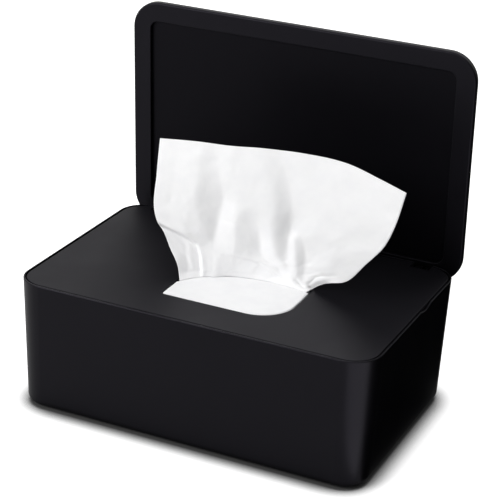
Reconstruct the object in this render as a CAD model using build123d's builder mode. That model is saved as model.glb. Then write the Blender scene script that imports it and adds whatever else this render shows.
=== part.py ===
from build123d import *
from math import cos, radians, sin
import os

# Countertop wipes dispenser with a flip-up lid, modelled in millimetres with the lid open.
# Origin: centre of the tub's footprint on the table. +X runs along the front, to the right,
# +Y towards the hinge and +Z up.

# ---------------------------------------------------------------- driving dimensions

# Tub
tub_length = 190.0
tub_depth = 125.0
rim_height = 69.0
corner_radius = 15.0
wall_draft = 1.8  # degrees, outside and inside
wall = 2.6  # at the rim
floor_thickness = 2.4
heel_radius = 4.0  # outside edge between walls and floor
floor_edge = 2.5  # the same edge inside, cut straight
rim_edge = 0.3
lip = 0.8  # width of the rim that shows round the panel
land_depth = 13.0  # straight band below the rim that the panel's skirt seals against

# Foot ridge moulded under the tub, and the non-slip pads inside it
foot_height = 0.8
foot_width = 2.5
foot_inset = 9.0
pad_radius = 6.0
pad_socket = 0.6
pad_socket_gap = 0.15
pad_inset = 22.0  # pad centre to the tub's outside, at the rim

# Finger notch in the right side of the rim, to lift the panel by
notch_width = 14.0
notch_depth = 1.4
notch_y = 12.5

# Dispensing panel
panel_thickness = 2.2
panel_sink = 0.1  # rim to panel top
panel_gap = 0.8  # seam between lip and panel
panel_edge = 0.4
skirt_depth = 9.8
skirt_wall = 2.0
skirt_gap = 0.5

# Opening in the panel: square to the left, round to the right
opening_left = -24.5
opening_right = 38.5
opening_front = -38.0
opening_back = 16.0
opening_round = 18.0
opening_corner = 1.2
opening_edge = 0.7
opening_lip = 1.5
opening_lip_depth = 2.4
rib = 1.4
rib_depth = 2.0

# Seal in a groove round the skirt
seal_height = 1.4
seal_groove = 0.8
seal_proud = 0.2
seal_rise = 0.7  # skirt's lower edge to the groove

# Lid
lid_thickness = 5.7
lid_gap = 0.3  # rim to the closed lid
lid_roll = 2.8
lid_inner_edge = 0.6
band = 10.0  # flat border inside the lid
field_recess = 2.0
liner_thickness = 1.7
liner_gap = 0.15
lid_angle = 87.0  # how far the lid is open

# Hinge
hinge_setback = 4.0  # axis in front of the tub's rear face
hinge_drop = 5.85  # axis below the rim
hinge_inset = 19.5  # centre of each hinge to the tub's side
ear_width = 3.4
ear_radius = 2.4
lug_width = 2.4
lug_radius = 2.5
hinge_side_gap = 0.3
pin_radius = 1.0
pin_running_gap = 0.06
pocket_gap = 0.4  # ears to the sides of their pocket
pocket_front_gap = 0.5
pocket_wall = 1.6
stop_gap = 0.3  # ears to the foot of their slot, where the open lid stops
relief_depth = 1.0  # hollow in the lid that clears the rim as the lid turns
relief_end_gap = 4.0

# Wipes
stack_end_gap = 3.9  # to the panel's skirt
stack_side_gap = 2.9  # to the hinge pockets
stack_headroom = 6.8  # to the underside of the panel
stack_radius = 4.0
soft_gap = 0.3
next_wipe_spread = 16.5  # past each side of the opening
next_wipe_inset = 3.0  # behind the front of the stack
next_wipe_short = 9.0  # short of the opening's back edge
next_wipe_base = 1.6
next_wipe_drop = 0.7  # panel top to the wipe that shows in the opening
next_wipe_gap = 0.4
wipe_thickness = 2.4  # with its folds
wipe_clearance = 3.0
wipe_lean = -0.64  # how far the sheet's folds run to the left, for each millimetre up

# The standing wipe, from the middle of the opening's back edge: its line where it leaves the
# opening, and its outline from the front, across and up from the panel
wipe_side_gap = 1.8  # to the sides of the opening
wipe_foot_back = (34.5, 17.5, 13.2, 15.2)  # left end, two folds and right end
wipe_folds = (-11.5, 2.7)
wipe_hip_left = (-43.0, 22.0)
wipe_edge_left = (-52.3, 40.0)
wipe_corner_left = (-53.5, 65.5)
wipe_crown = (18.0, 72.0)
wipe_corner_right = (76.5, 61.7)
wipe_edge_right = (69.0, 34.5)
wipe_hip_right = (49.5, 10.5)

# ---------------------------------------------------------------- worked out from them

ledge_z = rim_height - panel_sink - panel_thickness
panel_top = rim_height - panel_sink
land_z = rim_height - land_depth
floor_top = foot_height + floor_thickness
skirt_bottom = ledge_z - skirt_depth
skirt_offset = wall + skirt_gap
seal_z = skirt_bottom + seal_rise

hinge_x = tub_length / 2 - hinge_inset
hinge_y = tub_depth / 2 - hinge_setback
hinge_z = rim_height - hinge_drop
lid_reach = hinge_drop + lid_gap  # axis to the lid's inner face
slot_foot = hinge_z - ear_radius - stop_gap
ear_offset = lug_width / 2 + hinge_side_gap + ear_width / 2
hinge_width = lug_width + 2 * hinge_side_gap + 2 * ear_width
pocket_width = hinge_width + 2 * pocket_gap
pocket_front = hinge_y - lug_radius - pocket_front_gap

opening_middle = (opening_left + opening_right) / 2
opening_centre = (opening_middle, (opening_front + opening_back) / 2)

stack_length = tub_length - 2 * (skirt_offset + skirt_wall + stack_end_gap)
stack_width = 2 * (pocket_front - pocket_wall - stack_side_gap)
stack_top = ledge_z - stack_headroom
next_wipe_foot = stack_top + soft_gap
next_wipe_front = next_wipe_inset - stack_width / 2
next_wipe_back = opening_back - next_wipe_short

wipe_foot_xs = (
    opening_left + wipe_side_gap,
    *(opening_middle + fold for fold in wipe_folds),
    opening_right - wipe_side_gap,
)
wipe_foot = [Vector(x, opening_back - back) for x, back in zip(wipe_foot_xs, wipe_foot_back)]

# The lid's own plane: its inner face, local +Z towards the outer face and +Y towards the hinge.
turn = radians(lid_angle)
lid_y_dir = Vector(0, cos(turn), -sin(turn))
lid_z_dir = Vector(0, sin(turn), cos(turn))
hinge_point = Vector(0, hinge_y, hinge_z)
lid_centre = hinge_point - lid_y_dir * hinge_y + lid_z_dir * lid_reach
lid_plane = Plane(origin=lid_centre, x_dir=(1, 0, 0), z_dir=lid_z_dir)


def across_lid(x):
    """Plane across the hinge axis at x: local X to the lid's rear edge, local Y to its outside."""
    return Plane(origin=hinge_point + Vector(x, 0, 0), x_dir=lid_y_dir, z_dir=(1, 0, 0))


def across_tub(x):
    """Upright plane across the hinge axis at x: local X to the rear, local Y up."""
    return Plane(origin=hinge_point + Vector(x, 0, 0), x_dir=(0, 1, 0), z_dir=(1, 0, 0))


def outline(inset):
    """Rounded rectangle that lies inside the rim's outline by inset."""
    return RectangleRounded(
        tub_length - 2 * inset, tub_depth - 2 * inset, corner_radius - inset
    )


def wipe_line(forward=0.0, reach=0.0):
    """Line of the wipe's foot in the open BuildLine, moved forward and its right end drawn out."""
    left, first_fold, last_fold, right = (point - Vector(0, forward) for point in wipe_foot)
    drawn_out = right + (right - last_fold).normalized() * reach
    Polyline(left, first_fold, last_fold, drawn_out)


def from_opening(point):
    """Point of the wipe's front view, given from the middle of the opening."""
    across, up = point
    return (opening_middle + across, up)


def opening_outline(inset):
    """Outline of the opening, made smaller all round by inset."""
    width = opening_right - opening_left - 2 * inset
    depth = opening_back - opening_front - 2 * inset
    with BuildSketch() as shape:
        Rectangle(width, depth)
        fillet(shape.vertices().group_by(Axis.X)[-1], opening_round - inset)
        fillet(shape.vertices().group_by(Axis.X)[0], max(opening_corner - inset, 0.3))
    return shape.sketch


os.makedirs("parts", exist_ok=True)

# ---------------------------------------------------------------- tub

with BuildPart() as tub:
    # Drafted block with its heel rounded, hollowed from the rim
    with BuildSketch(Plane.XY.offset(rim_height)):
        outline(0)
    extrude(amount=foot_height - rim_height, taper=wall_draft)
    fillet(tub.faces().sort_by(Axis.Z)[0].edges(), heel_radius)
    with BuildSketch(Plane.XY.offset(land_z)):
        outline(wall)
    extrude(amount=floor_top - land_z, taper=wall_draft, mode=Mode.SUBTRACT)
    cavity_floor = tub.faces().filter_by(Plane.XY).filter_by(
        lambda face: abs(face.center().Z - floor_top) < 1e-3
    )
    chamfer(cavity_floor.edges(), floor_edge)
    with BuildSketch(Plane.XY.offset(land_z)):
        outline(wall)
    extrude(amount=land_depth, mode=Mode.SUBTRACT)
    # Rim: a step that the panel sits in, and a broken outer edge
    with BuildSketch(Plane.XY.offset(ledge_z)):
        outline(lip)
    extrude(amount=rim_height - ledge_z, mode=Mode.SUBTRACT)
    rim_face = tub.faces().sort_by(Axis.Z)[-1]
    chamfer(rim_face.outer_wire().edges(), rim_edge)
    # Slots in the rear wall that the lid's ears swing through
    with BuildSketch(Plane.XY.offset(slot_foot)):
        with Locations((-hinge_x, tub_depth / 2), (hinge_x, tub_depth / 2)):
            Rectangle(pocket_width, 2 * (skirt_offset + skirt_gap))
    extrude(amount=rim_height - slot_foot, mode=Mode.SUBTRACT)
    # Finger notch in the right side of the rim
    notch_radius = (notch_width**2 / 4 + notch_depth**2) / (2 * notch_depth)
    with BuildSketch(Plane.YZ):
        with Locations((notch_y, rim_height + notch_radius - notch_depth)):
            Circle(notch_radius)
    extrude(amount=tub_length, mode=Mode.SUBTRACT)
    # Foot ridge and pad sockets
    with BuildSketch(Plane.XY):
        outline(foot_inset)
        offset(amount=-foot_width, mode=Mode.SUBTRACT)
    extrude(amount=foot_height + pad_socket)
    pad_grid = GridLocations(
        tub_length - 2 * pad_inset, tub_depth - 2 * pad_inset, 2, 2
    )
    with BuildSketch(Plane.XY.offset(foot_height)):
        with pad_grid:
            Circle(pad_radius)
    extrude(amount=pad_socket, mode=Mode.SUBTRACT)
tub.part.label = "tub"
export_step(tub.part, "parts/tub.step")

# ---------------------------------------------------------------- non-slip pads

pad_names = ("pad_front_left", "pad_back_left", "pad_front_right", "pad_back_right")
for pad_name, spot in zip(pad_names, pad_grid.locations):
    with BuildPart() as pad:
        with BuildSketch(Plane.XY):
            with Locations((spot.position.X, spot.position.Y)):
                Circle(pad_radius - pad_socket_gap)
        extrude(amount=foot_height + pad_socket)
    pad.part.label = pad_name
    export_step(pad.part, f"parts/{pad_name}.step")

# ---------------------------------------------------------------- dispensing panel

with BuildPart() as dispensing_panel:
    # Plate flush in the rim, with its skirt below
    with BuildSketch(Plane.XY.offset(ledge_z)):
        outline(lip + panel_gap)
    extrude(amount=panel_thickness)
    chamfer(dispensing_panel.faces().sort_by(Axis.Z)[-1].edges(), panel_edge)
    with BuildSketch(Plane.XY.offset(skirt_bottom)):
        outline(skirt_offset)
        offset(amount=-skirt_wall, mode=Mode.SUBTRACT)
    extrude(amount=skirt_depth)
    # Ribs under the plate, and the turned-down lip of the opening
    with BuildSketch(Plane.XY.offset(ledge_z - rib_depth)):
        with Locations((0, opening_front + rib / 2), (0, opening_back - rib / 2)):
            Rectangle(tub_length - 2 * skirt_offset - skirt_wall, rib)
        with Locations(
            (opening_left - opening_lip / 2, 0), (opening_right + opening_lip / 2, 0)
        ):
            Rectangle(opening_lip, tub_depth - 2 * skirt_offset - skirt_wall)
    extrude(amount=rib_depth)
    with BuildSketch(Plane.XY.offset(ledge_z - opening_lip_depth)):
        with Locations(opening_centre):
            add(opening_outline(-opening_lip))
    extrude(amount=opening_lip_depth)
    with BuildSketch(Plane.XY.offset(skirt_bottom)):
        with Locations(opening_centre):
            add(opening_outline(0))
    extrude(amount=rim_height - skirt_bottom, mode=Mode.SUBTRACT)
    opening_rim = dispensing_panel.faces().sort_by(Axis.Z)[-1].inner_wires()[0]
    chamfer(opening_rim.edges(), opening_edge)
    # Hinge pockets, open to the rear, each with a bored lug in the middle
    pocket_back = tub_depth / 2 - skirt_offset
    for side in (-1, 1):
        with BuildSketch(Plane.XY.offset(slot_foot - pocket_wall)):
            with Locations((side * hinge_x, pocket_front - pocket_wall)):
                Rectangle(
                    pocket_width + 2 * pocket_wall,
                    pocket_back - pocket_front + pocket_wall,
                    align=(Align.CENTER, Align.MIN),
                )
        extrude(amount=panel_top - panel_edge - slot_foot + pocket_wall)
        with BuildSketch(Plane.XY.offset(slot_foot)):
            with Locations((side * hinge_x, pocket_front)):
                Rectangle(
                    pocket_width,
                    tub_depth / 2 - pocket_front,
                    align=(Align.CENTER, Align.MIN),
                )
        extrude(amount=rim_height - slot_foot, mode=Mode.SUBTRACT)
        with BuildSketch(across_tub(side * hinge_x)):
            Circle(lug_radius)
            with Locations((0, lug_radius)):
                Rectangle(
                    hinge_y - pocket_front + pocket_wall / 2,
                    panel_top - panel_edge - slot_foot,
                    align=(Align.MAX, Align.MAX),
                )
        extrude(amount=lug_width / 2, both=True)
        with BuildSketch(across_tub(side * hinge_x)):
            Circle(pin_radius + pin_running_gap)
        extrude(amount=lug_width, both=True, mode=Mode.SUBTRACT)
    # Groove round the skirt for the seal
    with BuildSketch(Plane.XY.offset(seal_z)):
        outline(skirt_offset)
        offset(amount=-seal_groove, mode=Mode.SUBTRACT)
    extrude(amount=seal_height, mode=Mode.SUBTRACT)
dispensing_panel.part.label = "dispensing_panel"
export_step(dispensing_panel.part, "parts/dispensing_panel.step")

with BuildPart() as skirt_seal:
    with BuildSketch(Plane.XY.offset(seal_z)):
        outline(skirt_offset - seal_proud)
        offset(amount=-seal_groove - seal_proud, mode=Mode.SUBTRACT)
    extrude(amount=seal_height)
skirt_seal.part.label = "skirt_seal"
export_step(skirt_seal.part, "parts/skirt_seal.step")

# ---------------------------------------------------------------- lid

with BuildPart() as lid_shell:
    # Shell with a rolled outer edge and a bed for the liner
    with BuildSketch(lid_plane):
        outline(0)
    extrude(amount=lid_thickness)
    lid_faces = lid_shell.faces().sort_by(Axis(lid_centre, lid_z_dir))
    fillet(lid_faces[-1].edges(), lid_roll)
    chamfer(lid_faces[0].edges(), lid_inner_edge)
    with BuildSketch(lid_plane):
        outline(band)
    extrude(amount=field_recess + liner_thickness, mode=Mode.SUBTRACT)
    # Hollow along the rear edge that clears the rim as the lid turns
    with BuildSketch(lid_plane):
        with Locations((0, tub_depth / 2)):
            Rectangle(
                tub_length - 2 * relief_end_gap,
                hinge_setback + ear_radius + relief_depth + lid_gap,
                align=(Align.CENTER, Align.MAX),
            )
    extrude(amount=relief_depth, mode=Mode.SUBTRACT)
    # Two ears at each hinge
    for side in (-1, 1):
        for ear in (-1, 1):
            with BuildSketch(across_lid(side * hinge_x + ear * ear_offset)):
                Circle(ear_radius)
                Rectangle(
                    2 * ear_radius,
                    lid_reach + relief_depth,
                    align=(Align.CENTER, Align.MIN),
                )
            extrude(amount=ear_width / 2, both=True)
            with BuildSketch(across_lid(side * hinge_x + ear * ear_offset)):
                Circle(pin_radius)
            extrude(amount=ear_width, both=True, mode=Mode.SUBTRACT)
lid_shell.part.label = "lid_shell"
export_step(lid_shell.part, "parts/lid_shell.step")

with BuildPart() as lid_liner:
    with BuildSketch(lid_plane.offset(field_recess)):
        outline(band + liner_gap)
    extrude(amount=liner_thickness)
lid_liner.part.label = "lid_liner"
export_step(lid_liner.part, "parts/lid_liner.step")

for pin_name, side in (("hinge_pin_left", -1), ("hinge_pin_right", 1)):
    with BuildPart() as hinge_pin:
        with BuildSketch(across_lid(side * hinge_x)):
            Circle(pin_radius)
        extrude(amount=hinge_width / 2, both=True)
    hinge_pin.part.label = pin_name
    export_step(hinge_pin.part, f"parts/{pin_name}.step")

# ---------------------------------------------------------------- wipes

with BuildPart() as wipes_stack:
    with BuildSketch(Plane.XY.offset(floor_top + soft_gap)):
        RectangleRounded(stack_length, stack_width, stack_radius)
    extrude(amount=stack_top - floor_top - soft_gap)
wipes_stack.part.label = "wipes_stack"
export_step(wipes_stack.part, "parts/wipes_stack.step")

# The next wipe: its fold lies on the stack and fills the opening in front of the pulled wipe
with BuildPart() as next_wipe:
    with BuildSketch(Plane.XY.offset(next_wipe_foot)):
        with Locations((opening_middle, (next_wipe_front + next_wipe_back) / 2)):
            RectangleRounded(
                opening_right - opening_left + 2 * next_wipe_spread,
                next_wipe_back - next_wipe_front,
                stack_radius,
            )
    extrude(amount=next_wipe_base)
    with BuildSketch(Plane.XY.offset(next_wipe_foot)):
        with Locations(opening_centre):
            add(opening_outline(next_wipe_gap))
        # Cut back to a line that runs in front of the pulled wipe
        behind = Vector(0, tub_depth)
        aside = Vector(opening_round, 0)
        left, right = (wipe_foot[end] - Vector(0, wipe_clearance) for end in (0, -1))
        with BuildLine():
            wipe_line(forward=wipe_clearance)
            Polyline(
                right,
                right + aside,
                right + aside + behind,
                left - aside + behind,
                left - aside,
                left,
            )
        make_face(mode=Mode.SUBTRACT)
    extrude(amount=panel_top - next_wipe_drop - next_wipe_foot)
next_wipe.part.label = "next_wipe"
export_step(next_wipe.part, "parts/next_wipe.step")

# The pulled wipe: its tail under the opening, and the part that stands above it
with BuildPart() as wipe_tail:
    tail_foot = next_wipe_foot + next_wipe_base + soft_gap
    with BuildSketch(Plane.XY.offset(tail_foot)):
        with BuildLine():
            wipe_line()
        trace(line_width=wipe_thickness)
    extrude(amount=panel_top - tail_foot)
wipe_tail.part.label = "wipe_tail"
export_step(wipe_tail.part, "parts/wipe_tail.step")

with BuildPart() as pulled_wipe:
    # A sheet with folds that lean to the left, cut to its outline from the front
    with BuildSketch(Plane.XY.offset(panel_top + soft_gap)):
        with BuildLine():
            wipe_line(reach=tub_length / 2)
        trace(line_width=wipe_thickness)
    extrude(amount=tub_depth, dir=(wipe_lean, 0, 1))
    foot_left, foot_right = ((x, soft_gap) for x in (wipe_foot_xs[0], wipe_foot_xs[-1]))
    edge_left, corner_left, crown, corner_right, edge_right = map(
        from_opening,
        (wipe_edge_left, wipe_corner_left, wipe_crown, wipe_corner_right, wipe_edge_right),
    )
    with BuildSketch(Plane.XZ.shift_origin((0, 0, panel_top))):
        with BuildLine():
            Spline(foot_left, from_opening(wipe_hip_left), edge_left)
            Line(edge_left, corner_left)
            Spline(corner_left, crown, corner_right)
            Spline(corner_right, edge_right, from_opening(wipe_hip_right), foot_right)
            Line(foot_right, foot_left)
        make_face()
    extrude(amount=tub_depth, both=True, mode=Mode.INTERSECT)
pulled_wipe.part.label = "pulled_wipe"
export_step(pulled_wipe.part, "parts/pulled_wipe.step")
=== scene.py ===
import logging
import math
from collections.abc import Callable
from dataclasses import dataclass, field
from enum import Enum

import bpy
import numpy as np
from mathutils import Matrix, Vector


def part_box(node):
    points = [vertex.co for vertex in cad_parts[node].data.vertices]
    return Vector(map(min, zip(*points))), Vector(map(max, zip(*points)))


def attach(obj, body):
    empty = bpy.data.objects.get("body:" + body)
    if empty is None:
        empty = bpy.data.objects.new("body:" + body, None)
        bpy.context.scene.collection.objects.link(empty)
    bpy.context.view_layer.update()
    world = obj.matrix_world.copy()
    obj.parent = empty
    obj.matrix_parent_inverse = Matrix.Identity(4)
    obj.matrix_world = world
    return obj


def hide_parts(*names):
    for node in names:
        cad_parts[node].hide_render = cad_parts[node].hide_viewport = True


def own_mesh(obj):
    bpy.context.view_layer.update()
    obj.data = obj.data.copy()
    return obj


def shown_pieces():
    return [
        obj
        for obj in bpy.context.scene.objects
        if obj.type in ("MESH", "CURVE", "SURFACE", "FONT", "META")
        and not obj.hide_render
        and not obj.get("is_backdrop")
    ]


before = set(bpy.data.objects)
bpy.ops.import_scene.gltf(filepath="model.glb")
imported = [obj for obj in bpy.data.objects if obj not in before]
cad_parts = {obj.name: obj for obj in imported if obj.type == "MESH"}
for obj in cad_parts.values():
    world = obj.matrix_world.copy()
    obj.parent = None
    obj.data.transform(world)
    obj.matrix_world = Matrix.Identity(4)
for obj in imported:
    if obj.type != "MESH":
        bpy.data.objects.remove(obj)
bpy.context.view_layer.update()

MM = 0.001
LOG = logging.getLogger("wipes_dispenser")

Colour = tuple[float, float, float]
Point = tuple[float, float, float]
Pair = tuple[float, float]


class Body(Enum):
    """The bodies of the part that pieces ride on."""

    TUB = "tub"
    PANEL = "panel"
    LID = "lid"


class Slot(Enum):
    """The record's material slots."""

    PLASTIC = "black_plastic"
    LINER = "black_liner"
    SEAL = "seal_rubber"
    PAD = "pad_rubber"
    STEEL = "pin_steel"
    WIPE = "wet_wipe"


# ---------------------------------------------------------------- node trees


@dataclass
class Wiring:
    """A node tree that is being put together."""

    tree: bpy.types.NodeTree

    def node(self, kind: str, inputs: dict | None = None, **settings: object) -> bpy.types.Node:
        """Adds one node.

        Args:
            kind: the node's type.
            inputs: value or source socket for each input, by name or number.
            settings: the node's own properties.

        Returns:
            The new node.
        """
        made = self.tree.nodes.new(kind)
        for name, value in settings.items():
            setattr(made, name, value)
        return self.feed(made, inputs or {})

    def feed(self, node: bpy.types.Node, inputs: dict) -> bpy.types.Node:
        """Sets or links a node's inputs.

        Args:
            node: the node that is fed.
            inputs: value or source socket for each input, by name or number.

        Returns:
            The same node.
        """
        for key, value in inputs.items():
            if isinstance(value, bpy.types.NodeSocket):
                self.tree.links.new(value, node.inputs[key])
            else:
                node.inputs[key].default_value = value
        return node

    def math(
        self, operation: str, first: object, second: object = 0.0, clamp: bool = False
    ) -> bpy.types.NodeSocket:
        """Adds a Math node.

        Args:
            operation: Blender's name of the operation.
            first: first value or socket.
            second: second value or socket.
            clamp: whether the result stays from 0 to 1.

        Returns:
            The result's socket.
        """
        return self.node(
            "ShaderNodeMath", {0: first, 1: second}, operation=operation, use_clamp=clamp
        ).outputs[0]

    def span(self, value: object, low: float, high: float) -> bpy.types.NodeSocket:
        """Maps low..high smoothly to 0..1.

        Args:
            value: the socket that is mapped.
            low: start of the range.
            high: end of the range.

        Returns:
            The result's socket.
        """
        return self.node(
            "ShaderNodeMapRange", {0: value, 1: low, 2: high}, interpolation_type="SMOOTHSTEP"
        ).outputs[0]

    def noise(
        self, vector: object, scale: object, detail: float = 2.0, kind: str = "FBM"
    ) -> bpy.types.NodeSocket:
        """Adds a noise texture.

        Args:
            vector: the coordinates' socket.
            scale: cells per metre.
            detail: number of finer layers.
            kind: Blender's name of the noise.

        Returns:
            The noise's value socket.
        """
        return self.node(
            "ShaderNodeTexNoise",
            {"Vector": vector, "Scale": scale, "Detail": detail},
            noise_type=kind,
        ).outputs[0]

    def blend(self, share: object, first: object, second: object) -> bpy.types.NodeSocket:
        """Adds a colour mix.

        Args:
            share: share of the second colour.
            first: first colour or socket.
            second: second colour or socket.

        Returns:
            The mixed colour's socket.
        """
        return self.node(
            "ShaderNodeMix", {0: share, 6: first, 7: second}, data_type="RGBA"
        ).outputs[2]

    def group(self, tree: bpy.types.NodeTree, inputs: dict | None = None) -> bpy.types.Node:
        """Places a shader node group with its own values."""
        return self.node("ShaderNodeGroup", inputs, node_tree=tree)

    def rays(self) -> tuple[bpy.types.NodeSocket, bpy.types.NodeSocket]:
        """Adds a Light Path node.

        Returns:
            Whether the camera sees the surface, and whether gloss or glass shows it.
        """
        ray = self.node("ShaderNodeLightPath").outputs
        mirrored = self.math("ADD", ray["Is Glossy Ray"], ray["Is Transmission Ray"], clamp=True)
        return ray["Is Camera Ray"], mirrored


def emptied(owner: bpy.types.Material | bpy.types.World) -> Wiring:
    """Empties the node tree of a material or world.

    Args:
        owner: the material or world.

    Returns:
        The wiring of its tree.
    """
    owner.use_nodes = True
    owner.node_tree.nodes.clear()
    return Wiring(owner.node_tree)


def new_group(
    name: str, inputs: dict[str, float | None], values: tuple[str, ...], vectors: tuple[str, ...] = ()
) -> tuple[Wiring, bpy.types.bpy_prop_collection]:
    """Starts a shader node group.

    Args:
        name: the group's name.
        inputs: default of each input, None for a vector.
        values: names of its value outputs.
        vectors: names of its vector outputs.

    Returns:
        Its wiring, and what is given to it.
    """
    tree = bpy.data.node_groups.new(name, "ShaderNodeTree")
    for label, value in inputs.items():
        kind = "NodeSocketVector" if value is None else "NodeSocketFloat"
        socket = tree.interface.new_socket(label, in_out="INPUT", socket_type=kind)
        if value is not None:
            socket.default_value = value
    for labels, kind in ((values, "NodeSocketFloat"), (vectors, "NodeSocketVector")):
        for label in labels:
            tree.interface.new_socket(label, in_out="OUTPUT", socket_type=kind)
    wiring = Wiring(tree)
    return wiring, wiring.node("NodeGroupInput").outputs


def mould_grain() -> bpy.types.NodeTree:
    """The fine spark-eroded grain of a mould, as a height.

    Returns:
        The shader group.
    """
    wiring, given = new_group("Mould grain", {"Cells per metre": 2600.0}, ("Height",))
    place = wiring.node("ShaderNodeTexCoord").outputs["Object"]
    fine = wiring.noise(place, given["Cells per metre"], detail=3.0)
    pits = wiring.node(
        "ShaderNodeTexVoronoi",
        {"Vector": place, "Scale": wiring.math("MULTIPLY", given["Cells per metre"], 0.6)},
        feature="SMOOTH_F1",
    ).outputs["Distance"]
    height = wiring.math("ADD", fine, wiring.math("MULTIPLY", pits, 0.6))
    wiring.node("NodeGroupOutput", {"Height": height})
    return wiring.tree


def handling() -> bpy.types.NodeTree:
    """Where hands have smudged a surface, and where dust has settled on it.

    Returns:
        The shader group.
    """
    wiring, given = new_group(
        "Handling", {"Smudges per metre": 22.0, "Specks per metre": 900.0}, ("Smudge", "Dust")
    )
    source = wiring.node("ShaderNodeTexCoord")
    place = source.outputs["Object"]
    cloud = wiring.noise(place, given["Smudges per metre"], detail=4.0)
    smudge = wiring.span(cloud, 0.42, 0.68)
    specks = wiring.noise(place, given["Specks per metre"], detail=2.0)
    drifts = wiring.noise(place, 35.0, detail=3.0)
    upward = wiring.node("ShaderNodeSeparateXYZ", {0: source.outputs["Normal"]}).outputs["Z"]
    settled = wiring.math("MULTIPLY", wiring.span(upward, 0.35, 0.95), wiring.span(drifts, 0.35, 0.75))
    dust = wiring.math("MULTIPLY", settled, wiring.span(specks, 0.60, 0.74))
    wiring.node("NodeGroupOutput", {"Smudge": smudge, "Dust": dust})
    return wiring.tree


def edge_wear() -> bpy.types.NodeTree:
    """A mask of the rubbed edges, and the normal that rounds them.

    Returns:
        The shader group.
    """
    wiring, given = new_group(
        "Edge wear", {"Width": 0.0007, "Breaks per metre": 160.0}, ("Edge",), ("Rounded",)
    )
    rounded = wiring.node("ShaderNodeBevel", {"Radius": given["Width"]}, samples=6).outputs[0]
    flat = wiring.node("ShaderNodeNewGeometry").outputs["Normal"]
    along = wiring.node("ShaderNodeVectorMath", {0: rounded, 1: flat}, operation="DOT_PRODUCT")
    turned = wiring.span(wiring.math("SUBTRACT", 1.0, along.outputs["Value"]), 0.01, 0.16)
    place = wiring.node("ShaderNodeTexCoord").outputs["Object"]
    breaks = wiring.span(wiring.noise(place, given["Breaks per metre"], detail=4.0), 0.36, 0.66)
    edge = wiring.math("MULTIPLY", turned, breaks)
    wiring.node("NodeGroupOutput", {"Edge": edge, "Rounded": rounded})
    return wiring.tree


def painted_seam_shade() -> bpy.types.NodeTree:
    """A mask of the outermost edge of a plate with round corners, centred on Z, where a dark line of shade is
    painted for the seam.

    Returns:
        The shader group.
    """
    sizes = {"Half length": 0.09, "Half width": 0.06, "Round": 0.013, "Reach": 0.0004, "Fade": 0.0001}
    wiring, given = new_group("Painted seam shade", sizes, ("Seam",))
    spot = wiring.node("ShaderNodeTexCoord").outputs["Object"]
    place = wiring.node("ShaderNodeSeparateXYZ", {0: spot}).outputs
    over = []
    for axis, half in (("X", "Half length"), ("Y", "Half width")):
        straight = wiring.math("SUBTRACT", given[half], given["Round"])
        over.append(wiring.math("SUBTRACT", wiring.math("ABSOLUTE", place[axis]), straight))
    past = {axis: wiring.math("MAXIMUM", amount, 0.0) for axis, amount in enumerate(over)}
    beyond = wiring.node("ShaderNodeCombineXYZ", past).outputs[0]
    corner = wiring.node("ShaderNodeVectorMath", {0: beyond}, operation="LENGTH").outputs["Value"]
    level = wiring.math("MINIMUM", wiring.math("MAXIMUM", over[0], over[1]), 0.0)
    outside = wiring.math("SUBTRACT", wiring.math("ADD", corner, level), given["Round"])
    share = wiring.math("DIVIDE", wiring.math("ADD", outside, given["Reach"]), given["Fade"], clamp=True)
    wiring.node("NodeGroupOutput", {"Seam": share})
    return wiring.tree


def non_woven() -> bpy.types.NodeTree:
    """The tangled fibres of a non-woven sheet, as a height and a shade.

    Returns:
        The shader group.
    """
    wiring, given = new_group(
        "Non-woven", {"Vector": None, "Fibres per metre": 1500.0}, ("Height", "Shade")
    )
    place = given["Vector"]
    scale = given["Fibres per metre"]
    runs = []
    for turn, stretch in ((0.5, 0.22), (-0.9, 0.30), (1.9, 0.26)):
        turned = wiring.node(
            "ShaderNodeMapping", {"Vector": place, "Rotation": (0, 0, turn), "Scale": (1, stretch, 1)}
        )
        runs.append(wiring.noise(turned.outputs[0], scale, detail=2.0, kind="RIDGED_MULTIFRACTAL"))
    tangle = wiring.math("MAXIMUM", wiring.math("MAXIMUM", runs[0], runs[1]), runs[2])
    cloud = wiring.noise(place, 140.0, detail=3.0)
    tangle, lumps = wiring.math("MULTIPLY", tangle, 0.5), wiring.math("MULTIPLY", cloud, 0.35)
    wiring.node("NodeGroupOutput", {"Height": wiring.math("ADD", tangle, lumps), "Shade": cloud})
    return wiring.tree


@dataclass
class Effects:
    """The shader groups that the finishes share."""

    grain: bpy.types.NodeTree = field(default_factory=mould_grain)
    handling: bpy.types.NodeTree = field(default_factory=handling)
    edge: bpy.types.NodeTree = field(default_factory=edge_wear)
    seam: bpy.types.NodeTree = field(default_factory=painted_seam_shade)
    fibres: bpy.types.NodeTree = field(default_factory=non_woven)


# ---------------------------------------------------------------- finishes


def new_material(name: str) -> tuple[bpy.types.Material, Wiring, bpy.types.Node]:
    """Starts a material.

    Args:
        name: the material's name.

    Returns:
        The material, its wiring and its Principled BSDF.
    """
    material = bpy.data.materials.new(name)
    wiring = emptied(material)
    shader = wiring.node("ShaderNodeBsdfPrincipled")
    wiring.node("ShaderNodeOutputMaterial", {"Surface": shader.outputs[0]})
    return material, wiring, shader


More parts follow.
